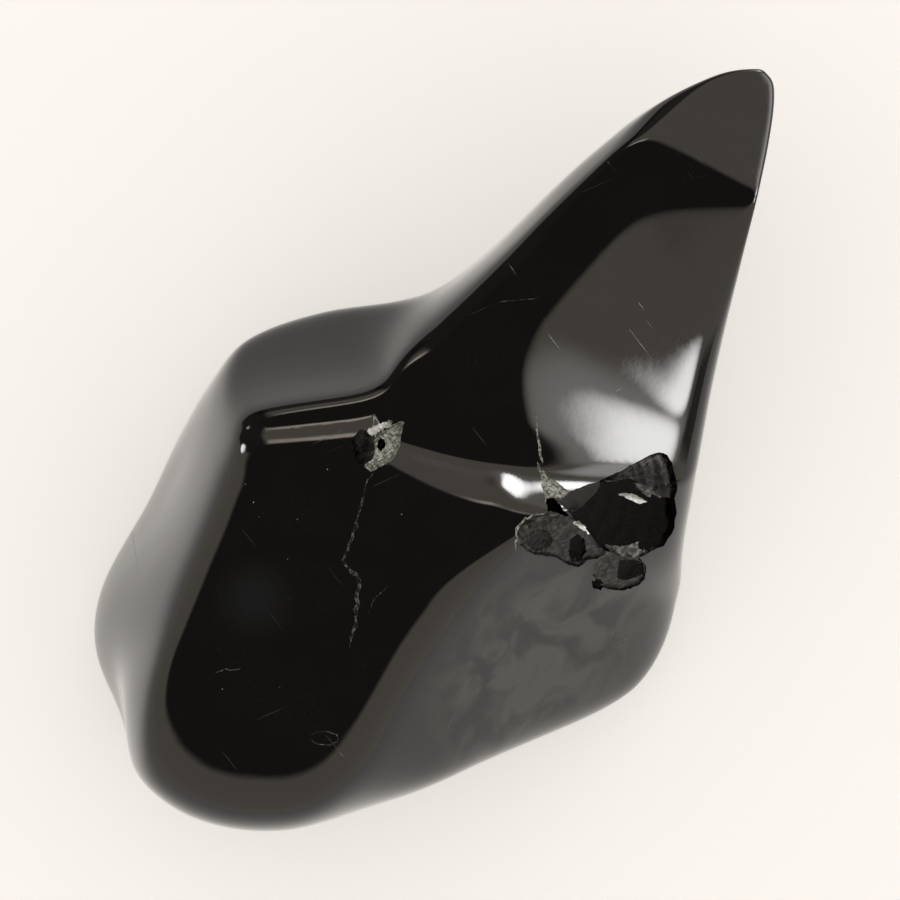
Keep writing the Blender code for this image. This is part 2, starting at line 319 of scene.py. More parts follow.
def beyond_sides(points):
    """The left flank, its lobe and the hump, which stop where the fin's left side begins."""
    flank = both(beyond(FLANK_UPPER, points), beyond(FLANK_LOWER, points), MILD)
    flank = either(flank, beyond(LOBE, points), MILD)
    hump = either(beyond(HUMP, points), beyond(LEDGE, points), MILD)
    flank = both(flank, hump, SOFT)
    fin = both(beyond(FIN_LEFT, points), beyond(FIN_ROOT, points), SOFT)
    return either(flank, fin, SOFT)


def beyond_underside(points):
    under = beyond(UNDERSIDES[0], points)
    for facet in UNDERSIDES[1:]:
        under = both(under, beyond(facet, points), SOFT)
    return under


def blend_between(first, second, share):
    return first + (second - first) * share


def edge_softness(points):
    """The blend of the upper faces with the outline, and with the left flank, at each point."""
    x, y = points[:, 0], points[:, 1]
    edge = blend_between(EDGE_CRISP, EDGE_SOFT, smooth_step(*EDGE_SPAN, y))
    heel = smooth_step(*HEEL_SPAN, y) * smooth_step(*HEEL_SIDE, x)
    flank = blend_between(FLANK_CRISP, FLANK_SOFT, smooth_step(*FLANK_SPAN, y))
    low = smooth_step(*FLANK_LOW_SPAN, y)
    flank = flank + (FLANK_LOW - FLANK_SOFT) * low
    shelf = smooth_step(*SHELF_LEFT, x) * smooth_step(*SHELF_RIGHT, x)
    shelf = shelf * smooth_step(*SHELF_BACK, y)
    return edge + HEEL_SOFTER * heel, blend_between(flank, SHELF_EDGE, shelf)


def waviness(points):
    total = np.zeros(len(points))
    for phase, (direction, wavelength, height) in enumerate(WAVES):
        heading = np.array(direction) / np.linalg.norm(direction)
        total += height * np.sin(2 * pi * (points @ heading) / wavelength + phase)
    for centre, height, radius in SWELLS:
        apart = ((points - np.array(centre)) ** 2).sum(axis=1)
        total -= height * np.exp(-apart / (2 * radius**2))
    return total


def beyond_stone(points):
    """How far each point lies outside the whole stone, before its chips."""
    edge, flank = edge_softness(points)
    form = both(beyond_top(points), OUTLINE_MAP(points), edge)
    form = both(form, beyond_sides(points), flank)
    form = both(form, -points[:, 2] - REST_SINK, MILD)
    form = both(form, beyond_underside(points), SOFT)
    return form + waviness(points)


def leaves_at(starts, directions, near, far):
    """How far along each ray the stone ends, between the near and the far distance."""
    near, far = np.full(len(starts), near), np.full(len(starts), far)
    for _ in range(HALVINGS):
        halfway = (near + far) / 2
        outside = beyond_stone(starts + halfway[:, None] * directions) > 0.0
        far = np.where(outside, halfway, far)
        near = np.where(outside, near, halfway)
    return near


def laid_on_stone(directions):
    """Where a ray in each direction, from its own place along the spine, leaves the stone."""
    heel, fin = np.array(SPINE_HEEL), np.array(SPINE_FIN)
    middle, half = (heel + fin) / 2, (fin - heel) / 2
    along = directions @ (half / np.linalg.norm(half))
    starts = middle + along[:, None] * half
    return starts + leaves_at(starts, directions, 0.0, REACH)[:, None] * directions


def slopes_at(points):
    """The gradient of beyond_stone at each point."""
    slopes = np.empty_like(points)
    for axis in range(3):
        step = np.zeros(3)
        step[axis] = SLOPE_STEP
        rise = beyond_stone(points + step) - beyond_stone(points - step)
        slopes[:, axis] = rise / (2 * SLOPE_STEP)
    return slopes


def unit(vectors):
    return vectors / np.linalg.norm(vectors, axis=1, keepdims=True)


def settled(points):
    """Points near the stone's surface, moved onto it."""
    for _ in range(SETTLING_STEPS):
        slopes = slopes_at(points)
        steep = (slopes**2).sum(axis=1, keepdims=True)
        points = points - beyond_stone(points)[:, None] * slopes / steep
    return points


def mesh_of(shape, name):
    mesh = bpy.data.meshes.new(name)
    shape.to_mesh(mesh)
    shape.free()
    return mesh


def places_of(shape):
    return np.array([vert.co[:] for vert in shape.verts])


def triangulate(shape):
    bmesh.ops.triangulate(shape, faces=[face for face in shape.faces if len(face.verts) > 3])


def split_creases(shape):
    """Splits the edges whose ends look different ways, and lays the new points on the stone."""
    places = places_of(shape)
    normals = unit(slopes_at(places))
    ends = np.array([[vert.index for vert in edge.verts] for edge in shape.edges])
    first, second = ends.T
    turn = (normals[first] * normals[second]).sum(axis=1)
    length = np.linalg.norm(places[first] - places[second], axis=1)
    creased = (turn < cos(radians(CREASE_TURN))) & (length > CREASE_SHORTEST)
    edges = [edge for edge, split in zip(shape.edges[:], creased) if split]
    bmesh.ops.subdivide_edges(shape, edges=edges, cuts=1)
    triangulate(shape)
    shape.verts.index_update()
    added = list(shape.verts)[len(places):]
    moved = settled(places_of(shape)[len(places):])
    for vert, place in zip(added, moved):
        vert.co = place


def fine_stone():
    """The stone before its chips, in millimetres."""
    shape = bmesh.new()
    bmesh.ops.create_cube(shape, size=2.0)
    bmesh.ops.subdivide_edges(shape, edges=shape.edges[:], cuts=CUBE_CUTS - 1, use_grid_fill=True)
    directions = unit(np.tan(places_of(shape) * pi / 4))
    directions[:, 2] += TOP_BIAS
    for vert, place in zip(shape.verts, laid_on_stone(unit(directions))):
        vert.co = place
    triangulate(shape)
    shape.verts.index_update()
    for _ in range(CREASE_ROUNDS):
        split_creases(shape)
    for vert in shape.verts:  # the flat that the stone rests on
        vert.co.z = max(vert.co.z, 0.0)
    return mesh_of(shape, "polished_stone")


# ---------------- the chips, the crack and scratches

# Where the damage is, by points given in the 900 x 900 photograph. Depths, widths and
# heights are millimetres. A floor's plane is (its place, depth under what is left there, azimuth,
# tilt, hollowness).

PHOTO_MIDDLE = 450
ABOVE = 17.0  # top of every chip's cutter, clear of the stone
INSIDE = 1.0  # a level under the polish everywhere that is cut
LIP = 0.04  # how far a chip's cutter stands above the polish at its rim
RINGS, SPOKES = 12, 44  # points of a chip cutter's floor
RIM_RAGGED = 0.02
RIPPLES = 9.0  # radians per mm of the wave that makes curved steps in broken glass
SPAN = 0.14  # spacing of the points along a groove
LEAST_POINTS = 4
GROOVE_LIFT = 0.012  # how far a groove's cutter stands above the polish
GROOVE_TAPER, GROOVE_TIP = 6.0, 0.15  # how fast a groove widens, and its ends' share of the width
UNEVEN = (0.6, 1.4)  # random share of its width that a groove or pit has at each point
PIT_RADIUS, PIT_DEPTH, PIT_SIDES = 0.035, 0.03, 6
PIT_LIFT = 3 * GROOVE_LIFT
HARD_EDGE = 28.0  # degrees between two break faces that don't shade into each other
COINCIDENT = 0.0002  # points closer than this are one
SIGHT_ROUNDS = 2  # rounds that fit a pixel's place to the stone's height there
DAMAGE_SEED = 7


@dataclass(frozen=True)
class Break:
    """A flake that has come off: its outline, the plane of its floor and how the floor looks."""

    rim: tuple
    plane: tuple
    finish: str
    skin: float = 0.0  # without a plane, the even depth under the polish
    ripple: float = 0.0  # height of the curved steps
    rough: float = 0.0  # how far the floor's points are thrown up or down


@dataclass(frozen=True)
class Groove:
    """A crack or scratch: its run, half width, depth and how ragged its sides are."""

    run: tuple
    half: float
    depth: float
    ragged: float = 0.0
    swell: tuple = (1.0, 1.0)  # width at its start and at its end, as a share of half
    finish: str = "frosted_break"


LARGE_CHIP = (
    Break(((562, 496), (575, 486), (590, 479), (608, 474), (630, 474), (650, 487), (668, 498), (677, 497),
           (680, 512), (676, 532), (668, 546), (655, 552), (645, 559), (628, 558), (609, 553),
           (597, 542), (589, 534), (576, 520)),
          ((669, 544), 0.15, -42, 42, 0.1), "dark_break", ripple=0.012),
    Break(((602, 482), (618, 474), (630, 468), (648, 458), (660, 452), (670, 455), (676, 464),
           (679, 478), (680, 492), (674, 507), (660, 502), (648, 494), (632, 484), (616, 483)),
          (), "veiled_break", skin=0.4, ripple=0.028, rough=0.015),
    Break(((560, 501), (572, 492), (590, 485), (606, 481), (606, 496), (602, 510), (594, 527),
           (580, 519), (567, 509)),
          ((580, 503), 0.12, -28, 43, 0.3), "clear_break"),
    Break(((606, 545), (620, 547), (634, 545), (648, 541), (656, 537), (652, 550), (641, 559),
           (628, 558), (613, 553)),
          ((633, 552), 0.08, -42, 42, 0.1), "frosted_break", ripple=0.01, rough=0.012),
    Break(((659, 473), (673, 471), (678, 486), (668, 484), (662, 480)),
          ((669, 479), 0.25, -120, 20, 0.0), "dark_break"),
    Break(((636, 482), (650, 487), (663, 495), (670, 504), (666, 507), (652, 498), (640, 491)),
          ((652, 492), 0.1, -60, 36, 0.3), "frosted_break", ripple=0.012),
    # A sliver that faces a lamp, with its highlight also painted in pale tones.
    Break(((620, 494), (630, 493), (639, 495), (652, 503), (668, 507), (664, 512), (648, 508),
           (634, 501)),
          ((645, 501), 0.12, 10, 25, 0.0), "painted_glint_edge"),
)

SMALL_CHIPS = (
    Break(((518, 534), (524, 522), (535, 517), (549, 514), (562, 511), (574, 516), (586, 526),
           (598, 536), (604, 549), (611, 553), (604, 560), (592, 560), (583, 568), (570, 566),
           (559, 558), (546, 557), (530, 554), (520, 544)),
          (), "hazy_break", skin=0.2, ripple=0.02, rough=0.035),
    Break(((531, 534), (541, 529), (554, 533), (557, 542), (550, 552), (538, 553), (529, 545)),
          ((543, 540), 0.25, -50, 46, 0.7), "veiled_break", ripple=0.01, rough=0.03),
    Break(((572, 541), (580, 534), (588, 540), (589, 552), (584, 563), (574, 566), (571, 555)),
          ((580, 550), 0.25, -50, 46, 0.6), "dark_break", ripple=0.012, rough=0.03),
    Break(((596, 565), (602, 557), (614, 554), (630, 557), (642, 558), (650, 568), (647, 581),
           (638, 588), (624, 592), (610, 590), (599, 587), (595, 576)),
          (), "hazy_break", skin=0.22, ripple=0.02, rough=0.035),
    Break(((622, 561), (634, 559), (646, 563), (648, 577), (637, 587), (625, 588), (618, 578)),
          ((634, 573), 0.2, -45, 50, 0.5), "dark_break", ripple=0.012, rough=0.03),
    Break(((594, 582), (602, 579), (608, 585), (603, 591), (596, 589)),
          ((600, 584), 0.12, -50, 40, 0.0), "dark_break", rough=0.01),
    Break(((548, 500), (555, 498), (561, 503), (566, 510), (573, 517), (568, 518), (560, 513),
           (551, 512)),
          ((556, 505), 0.6, -60, 30, 0.0), "dark_break", rough=0.03),
    # A sliver that faces a lamp, with its highlight also painted in pale tones.
    Break(((575, 523), (581, 521), (590, 528), (598, 535), (594, 537), (584, 530)),
          ((586, 528), 0.1, 10, 25, 0.0), "painted_glint_edge"),
    Break(((539, 460), (543, 468), (549, 476), (558, 481), (566, 486), (572, 493), (569, 498),
           (558, 499), (551, 498), (548, 504), (545, 492), (543, 480)),
          (), "crushed", skin=0.08, rough=0.07),
)

CREST_CHIP = (
    Break(((353, 442), (359, 433), (369, 426), (381, 422), (394, 420), (396, 430), (388, 440),
           (380, 452), (372, 465), (360, 465), (355, 453)),
          ((367, 449), 0.45, -150, 22, 0.6), "veiled_break", ripple=0.02),
    # A sliver that faces a lamp, with its highlight also painted in pale tones.
    Break(((366, 434), (374, 427), (385, 423), (395, 421), (394, 426), (384, 431), (375, 437)),
          ((380, 429), 0.1, 30, 30, 0.0), "painted_glint_edge", ripple=0.02, rough=0.02),
    Break(((376, 441), (384, 434), (393, 426), (407, 421), (405, 432), (403, 446), (396, 460),
           (385, 467), (373, 473), (366, 468), (370, 457), (377, 450)),
          (), "crushed", skin=0.3, ripple=0.03, rough=0.09),
    Break(((381, 439), (387, 436), (389, 445), (384, 453), (379, 448)),
          ((384, 444), 0.2, -60, 20, 0.0), "dark_break", rough=0.03),
)

BREAKS = LARGE_CHIP + SMALL_CHIPS + CREST_CHIP

CRACK = Groove(
    ((375, 468), (376, 474), (370, 482), (365, 498), (362, 512), (358, 527), (354, 540),
     (350, 553), (345, 562), (352, 569), (360, 574), (362, 586), (359, 598), (360, 614),
     (358, 628), (354, 640), (352, 650)), 0.045, 0.06, 0.03, (0.8, 1.9))
FAINT_BRANCH = Groove(((392, 585), (377, 599), (370, 617)), 0.018, 0.01, 0.015)
SPUR = Groove(
    ((537, 412), (539, 420), (540, 432), (542, 447), (545, 466)),
    0.045, 0.05, 0.015, (0.5, 1.5), "crushed")
SCALLOPED_RIM = Groove(
    ((521, 550), (518, 539), (520, 527), (528, 519), (540, 516), (549, 514)),
    0.06, 0.07, 0.06, (1.2, 0.8), "crushed")
RING_SCRATCH = Groove(
    ((312, 738), (318, 733), (330, 732), (340, 736), (341, 742), (332, 746), (320, 745),
     (312, 740)), 0.03, 0.02, 0.008)
SCRATCHES = (
    Groove(((216, 674), (226, 670), (236, 671), (245, 669)), 0.03, 0.02, 0.012),
    Groove(((497, 304), (513, 301), (528, 300), (542, 299)), 0.022, 0.02, 0.01),
    Groove(((613, 634), (622, 636), (631, 637)), 0.03, 0.02, 0.008),
    Groove(((620, 642), (632, 645)), 0.03, 0.02, 0.008),
    Groove(((131, 520), (137, 548), (142, 576)), 0.02, 0.012, 0.008),
    Groove(((466, 597), (448, 628)), 0.014, 0.008, 0.006),
)
GROOVES = (CRACK, FAINT_BRANCH, SPUR, SCALLOPED_RIM, RING_SCRATCH) + SCRATCHES

# Pinprick pits in the polish.
PITS = (
    (248, 485), (262, 518), (282, 688), (225, 690), (256, 503), (300, 520), (290, 560),
    (404, 515), (330, 470),
)


def height_at(plan):
    """Level of the polished surface at each point in plan."""
    starts = np.column_stack([plan, np.zeros(len(plan))])
    return leaves_at(starts, np.array([0.0, 0.0, 1.0]), INSIDE, ABOVE)


def seen_at(pixels):
    """Where on the polish, in plan, the camera sees each pixel of the photograph."""
    turned = (np.array(pixels, float) - PHOTO_MIDDLE) * (1, -1) * FIELD / (2 * PHOTO_MIDDLE)
    aim = np.array(CAMERA_AIM)
    plan = aim[:2] + turned
    for _ in range(SIGHT_ROUNDS):
        nearer = (CAMERA_DISTANCE - (height_at(plan) - aim[2])) / CAMERA_DISTANCE
        plan = STONE_SHIFT + aim[:2] + turned * nearer[:, None]
    return plan


def spread(points, count, closed):
    """The points of a line in plan, evenly spaced along it."""
    line = np.vstack([points, points[:1]]) if closed else np.array(points)
    lengths = np.concatenate([[0.0], np.cumsum(np.linalg.norm(np.diff(line, axis=0), axis=1))])
    at = np.linspace(0.0, lengths[-1], count, endpoint=not closed)
    return np.column_stack([np.interp(at, lengths, line[:, axis]) for axis in (0, 1)])


class Chip:
    """A break laid on the stone: its rim in plan and its floor, under what earlier breaks left."""

    def __init__(self, made, earlier, noise):
        self.made = made
        rim = spread(seen_at(made.rim), SPOKES, closed=True)
        self.rim = rim + noise.normal(0.0, RIM_RAGGED, rim.shape)
        if made.plane:
            pixel, depth = made.plane[:2]
            self.place = seen_at([pixel])
            self.level = left_at(earlier, self.place)[0] - depth

    def floor(self, plan):
        """Its plane or its even depth, with the curved steps of broken glass."""
        if self.made.plane:
            azimuth, tilt, hollow = self.made.plane[2:]
            turn = radians(azimuth)
            offset = plan - self.place[0]
            along = offset @ np.array([cos(turn), sin(turn)])
            bend = hollow * (offset**2).sum(axis=1) / 2
            level = self.level - along * np.tan(radians(tilt)) + bend
        else:
            level = height_at(plan) - self.made.skin
        from_start = np.linalg.norm(plan - self.rim[0], axis=1)
        return level + self.made.ripple * np.sin(RIPPLES * from_start)

    def holds(self, plan):
        return distance_to_curve(self.rim, plan[:, 0], plan[:, 1]) < 0.0

    def cutter(self, noise):
        """A closed mesh that takes off what lies above the floor, within the rim."""
        centre = self.rim.mean(axis=0)
        shares = np.arange(1, RINGS + 1) / RINGS
        plan = centre + shares[:, None, None] * (self.rim - centre)
        plan = np.vstack([centre, plan.reshape(-1, 2)])
        inner = np.arange(len(plan)) < len(plan) - SPOKES
        top = height_at(plan) + LIP
        out = np.concatenate([[0.0], np.repeat(shares, SPOKES)])
        level = self.floor(plan) + noise.uniform(-1, 1, len(plan)) * self.made.rough * out
        level = np.where(inner, np.minimum(level, top), top)
        cap = np.column_stack([plan[-SPOKES:], np.full(SPOKES, ABOVE)])
        peak = [*centre, ABOVE]
        return np.vstack([np.column_stack([plan, level]), cap, peak]), star_faces()


def left_at(chips, plan):
    """Level of what the chips so far have left at each point in plan."""
    level = height_at(plan)
    for chip in chips:
        level = np.where(chip.holds(plan), np.minimum(level, chip.floor(plan)), level)
    return level


def star_faces():
    """Triangles of a chip cutter's floor, wall and cap, from its rings of spokes."""
    def ring(number, spoke):
        return 1 + (number - 1) * SPOKES + spoke % SPOKES

    faces = []
    for spoke in range(SPOKES):
        faces.append((0, ring(1, spoke + 1), ring(1, spoke)))
        for number in range(1, RINGS + 1):
            near, next_near = ring(number, spoke), ring(number, spoke + 1)
            far, next_far = ring(number + 1, spoke), ring(number + 1, spoke + 1)
            faces += [(near, next_near, next_far), (near, next_far, far)]
        cap = RINGS + 1
        faces.append((ring(cap, spoke), ring(cap, spoke + 1), ring(cap + 1, 0)))
    return faces


def groove_cutter(groove, noise):
    """A closed three-sided strip along the polish, narrow at both ends."""
    run = seen_at(groove.run)
    length = np.linalg.norm(np.diff(run, axis=0), axis=1).sum()
    count = max(LEAST_POINTS, int(length / SPAN))
    plan = spread(run, count, closed=False)
    plan = plan + noise.normal(0.0, groove.ragged, plan.shape)
    places = np.column_stack([plan, height_at(plan)])
    outward = unit(slopes_at(places))
    aside = unit(np.cross(outward, np.gradient(places, axis=0)))
    share = np.linspace(0.0, 1.0, count)
    half = groove.half * blend_between(*groove.swell, share) * noise.uniform(*UNEVEN, count)
    taper = np.minimum(1.0, GROOVE_TAPER * np.minimum(share, 1.0 - share) + GROOVE_TIP)
    half = (half * taper)[:, None]
    deep = outward * groove.depth * half / groove.half
    top = places + outward * GROOVE_LIFT
    corners = np.stack([top + aside * half, places - deep, top - aside * half], axis=1)
    faces = [(0, 2, 1), (3 * count - 3, 3 * count - 2, 3 * count - 1)]
    for start in range(0, 3 * (count - 1), 3):
        for a, b in ((0, 1), (1, 2), (2, 0)):
            first, second = start + a, start + b
            faces += [(first, second, second + 3), (first, second + 3, first + 3)]
    return corners.reshape(-1, 3), faces


def pit_cutter(place, noise):
    """A small double cone, mostly under the polish."""
    turns = np.arange(PIT_SIDES) * 2 * pi / PIT_SIDES
    rim = np.column_stack([np.cos(turns), np.sin(turns), np.zeros(PIT_SIDES)])
    rim = rim * noise.uniform(*UNEVEN, (PIT_SIDES, 1)) * PIT_RADIUS
    plan = seen_at([place])
    centre = np.array([*plan[0], height_at(plan)[0]])
    outward = unit(slopes_at(centre[None]))[0]
    laid = rim - (rim @ outward)[:, None] * outward
    ends = centre + np.outer((-PIT_DEPTH, PIT_LIFT), outward)
    faces = []
    for side in range(PIT_SIDES):
        following = (side + 1) % PIT_SIDES
        faces += [(side, PIT_SIDES, following), (side, following, PIT_SIDES + 1)]
    return np.vstack([centre + laid + outward * GROOVE_LIFT, ends]), faces


def cutter_object(name, places, faces, material):
    shape = bmesh.new()
    verts = [shape.verts.new(place) for place in places]
    for face in faces:
        shape.faces.new([verts[corner] for corner in face])
    bmesh.ops.recalc_face_normals(shape, faces=shape.faces[:])
    mesh = mesh_of(shape, name)
    mesh.materials.append(material)
    return bpy.data.objects.new(name, mesh)


def damage_cutters(finishes):
    """One object for each chip, groove and pit, with the finish that it leaves behind."""
    noise = np.random.default_rng(DAMAGE_SEED)
    chips = []
    for made in BREAKS:
        chips.append(Chip(made, chips, noise))
    shapes = [(chip.cutter(noise), chip.made.finish) for chip in chips]
    shapes += [(groove_cutter(groove, noise), groove.finish) for groove in GROOVES]
    shapes += [(pit_cutter(place, noise), "crushed") for place in PITS]
    return [
        cutter_object(f"cutter_{number}", *shape, finishes[finish])
        for number, (shape, finish) in enumerate(shapes)
    ]


def with_damage(mesh, finishes):
    """The stone with its chips, crack, scratches and pits cut into it."""
    cutters = bpy.data.collections.new("cutters")
    stone = bpy.data.objects.new("uncut_stone", mesh)
    bpy.context.scene.collection.children.link(cutters)
    bpy.context.scene.collection.objects.link(stone)
    for cutter in damage_cutters(finishes):
        cutters.objects.link(cutter)
    cut = stone.modifiers.new("damage", "BOOLEAN")
    cut.operation = "DIFFERENCE"
    cut.solver = "EXACT"
    cut.operand_type = "COLLECTION"
    cut.collection = cutters
    cut.material_mode = "TRANSFER"
    graph = bpy.context.evaluated_depsgraph_get()
    damaged = bpy.data.meshes.new_from_object(stone.evaluated_get(graph))
    damaged.name = "chipped_stone"
    for cutter in cutters.objects[:]:
        bpy.data.objects.remove(cutter)
    bpy.data.collections.remove(cutters)
    bpy.data.objects.remove(stone)
    return damaged


def whole_surface(shape):
    """The faces of the largest connected surface, which is the stone without loose shards."""
    left = set(shape.faces)
    largest = set()
    while left:
        found = {left.pop()}
        waiting = list(found)
        while waiting:
            face = waiting.pop()
            clean_edges = [edge for edge in face.edges if len(edge.link_faces) == 2]
            for neighbour in {other for edge in clean_edges for other in edge.link_faces}:
                if neighbour in left:
                    left.remove(neighbour)
                    found.add(neighbour)
                    waiting.append(neighbour)
        largest = max(largest, found, key=len)
    return largest


def cleaned(mesh):
    """Merges the cuts' coincident points, makes triangles and drops the loose shards."""
    shape = bmesh.new()
    shape.from_mesh(mesh)
    bmesh.ops.remove_doubles(shape, verts=shape.verts[:], dist=COINCIDENT)
    bmesh.ops.dissolve_degenerate(shape, edges=shape.edges[:], dist=COINCIDENT)
    triangulate(shape)
    kept = whole_surface(shape)
    loose = [face for face in shape.faces if face not in kept]
    bmesh.ops.delete(shape, geom=loose, context="FACES")
    shape.to_mesh(mesh)
    shape.free()
    mesh.validate()


def values_of(items, name, width=1, kind=float):
    """One property of a mesh's vertices, loops or faces, as rows of the given width."""
    values = np.empty(len(items) * width, kind)
    items.foreach_get(name, values)
    return values.reshape(-1, width)


class CadFit:
    """Millimetres to metres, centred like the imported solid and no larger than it."""

    def __init__(self, places):
        self.low, self.high = (np.array(corner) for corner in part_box(NODE))
        self.bottom = places.min(axis=0)
        size = places.max(axis=0) - self.bottom
        self.share = min(1.0, float(((self.high - self.low) / (size * MM)).min()))
        self.centre = self.bottom + size / 2

    def __call__(self, places):
        fitted = (places - self.centre) * MM * self.share
        fitted[:, :2] += (self.low[:2] + self.high[:2]) / 2
        fitted[:, 2] += self.low[2] - (self.bottom - self.centre)[2] * MM * self.share
        return fitted


def break_normals(mesh, corners, broken):
    """Every face's flat normal, and the broken ones' corner normals, shared across shallow edges."""
    turn = cos(radians(HARD_EDGE))
    flat = values_of(mesh.polygons, "normal", 3)
    area = values_of(mesh.polygons, "area")
    around = {}
    for face in broken:
        for vert in corners[face]:
            around.setdefault(vert, []).append(face)
    shaded = {}
    for face in broken:
        for vert in corners[face]:
            near = np.array(around[vert])
            near = near[flat[near] @ flat[face] > turn]
            shaded[face, vert] = (flat[near] * area[near]).sum(axis=0)
    return flat, shaded


def dress(mesh, fit):
    """Gives each corner its normal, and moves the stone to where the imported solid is."""
    names = [material.name for material in mesh.materials]
    finish = values_of(mesh.polygons, "material_index", kind=int)[:, 0]
    corners = values_of(mesh.loops, "vertex_index", kind=int).reshape(-1, 3)
    places = values_of(mesh.vertices, "co", 3)
    polish = unit(slopes_at(places))
    normals = polish[corners]
    smooth = [names.index(name) for name in names if name.endswith("_break")]
    flat, shaded = break_normals(mesh, corners, np.flatnonzero(np.isin(finish, smooth)))
    broken = finish != names.index("polished_obsidian")
    normals[broken] = flat[broken][:, None, :]
    for (face, vert), normal in shaded.items():
        if normal.any():
            normals[face][corners[face] == vert] = normal / np.linalg.norm(normal)
    mesh.vertices.foreach_set("co", fit(places).ravel())
    mesh.shade_smooth()
    mesh.normals_split_custom_set(normals.reshape(-1, 3))
    mesh.update()


# ---------------- materials

GLASS_IOR = 1.49
GLASS_ROUGH, HAZE_ROUGHER = 0.03, 0.05
GLASS_BLACK = (0.0035, 0.0034, 0.0034)
GLASS_HAZE = (0.007, 0.0066, 0.0056)
# A pale bluish tone painted on the main face as the reflection of the camera lens.
LENS_REFLECTION_PAINT = (0.013, 0.0135, 0.0145)
SCOOP_HAZE = (0.055, 0.054, 0.045)
SCRATCH_PALE = (0.045, 0.044, 0.04)
CRUSHED_DARK, CRUSHED_PALE = (0.16, 0.16, 0.13), (0.62, 0.63, 0.56)
CRUSHED_ROUGH = 0.45

# Noise: its scale, detail and warp. A tone also has the two values that it fades between.
PATCHES = ((0.35, 3.0, 0.6), (0.4, 0.7))
MOTTLE = ((9.0, 5.0), (0.4, 0.75))
SCOOP_CLOUD = ((0.45, 5.0, 1.2), (0.35, 0.65))
SCRATCH_MARKS = ((1.0, 2.0), (0.74, 0.79))
BREAK_TONE = ((5.0, 6.0), (0.42, 0.66))
CRUSHED_TONE = ((8.0, 4.0), (0.35, 0.65))
POLISH_RIPPLE = (2.2, 3.0)
BREAK_GRAIN = (7.0, 5.0)
CRUSHED_GRAIN = 9.0

# Relief: its depth in millimetres, and its strength.
POLISH_RELIEF = (0.004, 0.35)
BREAK_RELIEF = 0.02
CRUSHED_RELIEF = (0.05, 0.8)

# Soft patches, in metres: the middle, and how far from it one is full and where it ends.
SCOOP_PATCH = ((0.0041, -0.0085, 0.009), 0.003, 0.0075)
# Where the painted reflection of the camera lens sits on the main face.
LENS_REFLECTION_PATCH = ((-0.0071, -0.006, 0.015), 0.0, 0.0021)

# Fine scratches run two ways: how each set is turned, and how long and wide its marks are.
SCRATCH_SETS = (((0, 0, 24), (4.0, 0.09, 4.0)), ((0, 0, -52), (3.0, 0.08, 3.0)))

# Broken glass, dark or clear, hazed or frosted, or an edge whose pale tones are painted highlights:
# its two tones, how much it mirrors, its roughness and the strength of its grain.
BROKEN = {
    "dark_break": ((0.001, 0.001, 0.001), (0.004, 0.0036, 0.003), 0.04, 0.12, 0.5),
    "veiled_break": ((0.003, 0.0028, 0.0025), (0.026, 0.023, 0.019), 0.12, 0.25, 0.6),
    "clear_break": ((0.004, 0.004, 0.004), (0.01, 0.009, 0.008), 0.28, 0.08, 0.25),
    "hazy_break": ((0.01, 0.0095, 0.008), (0.062, 0.058, 0.048), 0.15, 0.35, 0.5),
    "frosted_break": ((0.03, 0.029, 0.026), (0.26, 0.255, 0.23), 0.4, 0.3, 0.9),
    # Painted highlights: pale tones on slivers that also face a lamp.
    "painted_glint_edge": ((0.55, 0.54, 0.5), (0.9, 0.89, 0.85), 0.5, 0.3, 0.5),
}


class Nodes:
    """The nodes of one material or world."""

    def __init__(self, tree):
        self.tree = tree

    def node(self, kind, **settings):
        node = self.tree.nodes.new(kind)
        for name, value in settings.items():
            setattr(node, name, value)
        return node

    def put(self, value, socket):
        """Links a socket to another one, or sets its value. Colours come without their alpha."""
        if isinstance(value, bpy.types.NodeSocket):
            self.tree.links.new(value, socket)
        else:
            socket.default_value = (*value, 1.0) if socket.type == "RGBA" else value

    def fill(self, node, values):
        for name, value in values.items():
            self.put(value, node.inputs[name])

    def math(self, operation, *values):
        node = self.node("ShaderNodeMath", operation=operation)
        for socket, value in zip(node.inputs, values):
            self.put(value, socket)
        return node.outputs[0]

    def ramp(self, value, start, end):
        """0 at the start and 1 at the end, smoothly; the start may be the larger."""
        node = self.node("ShaderNodeMapRange", interpolation_type="SMOOTHSTEP")
        self.fill(node, {"Value": value, "From Min": start, "From Max": end})
        return node.outputs["Result"]


def new_material(name):
    material = bpy.data.materials.new(name)
    material.use_nodes = True
    return material, material.node_tree.nodes["Principled BSDF"]


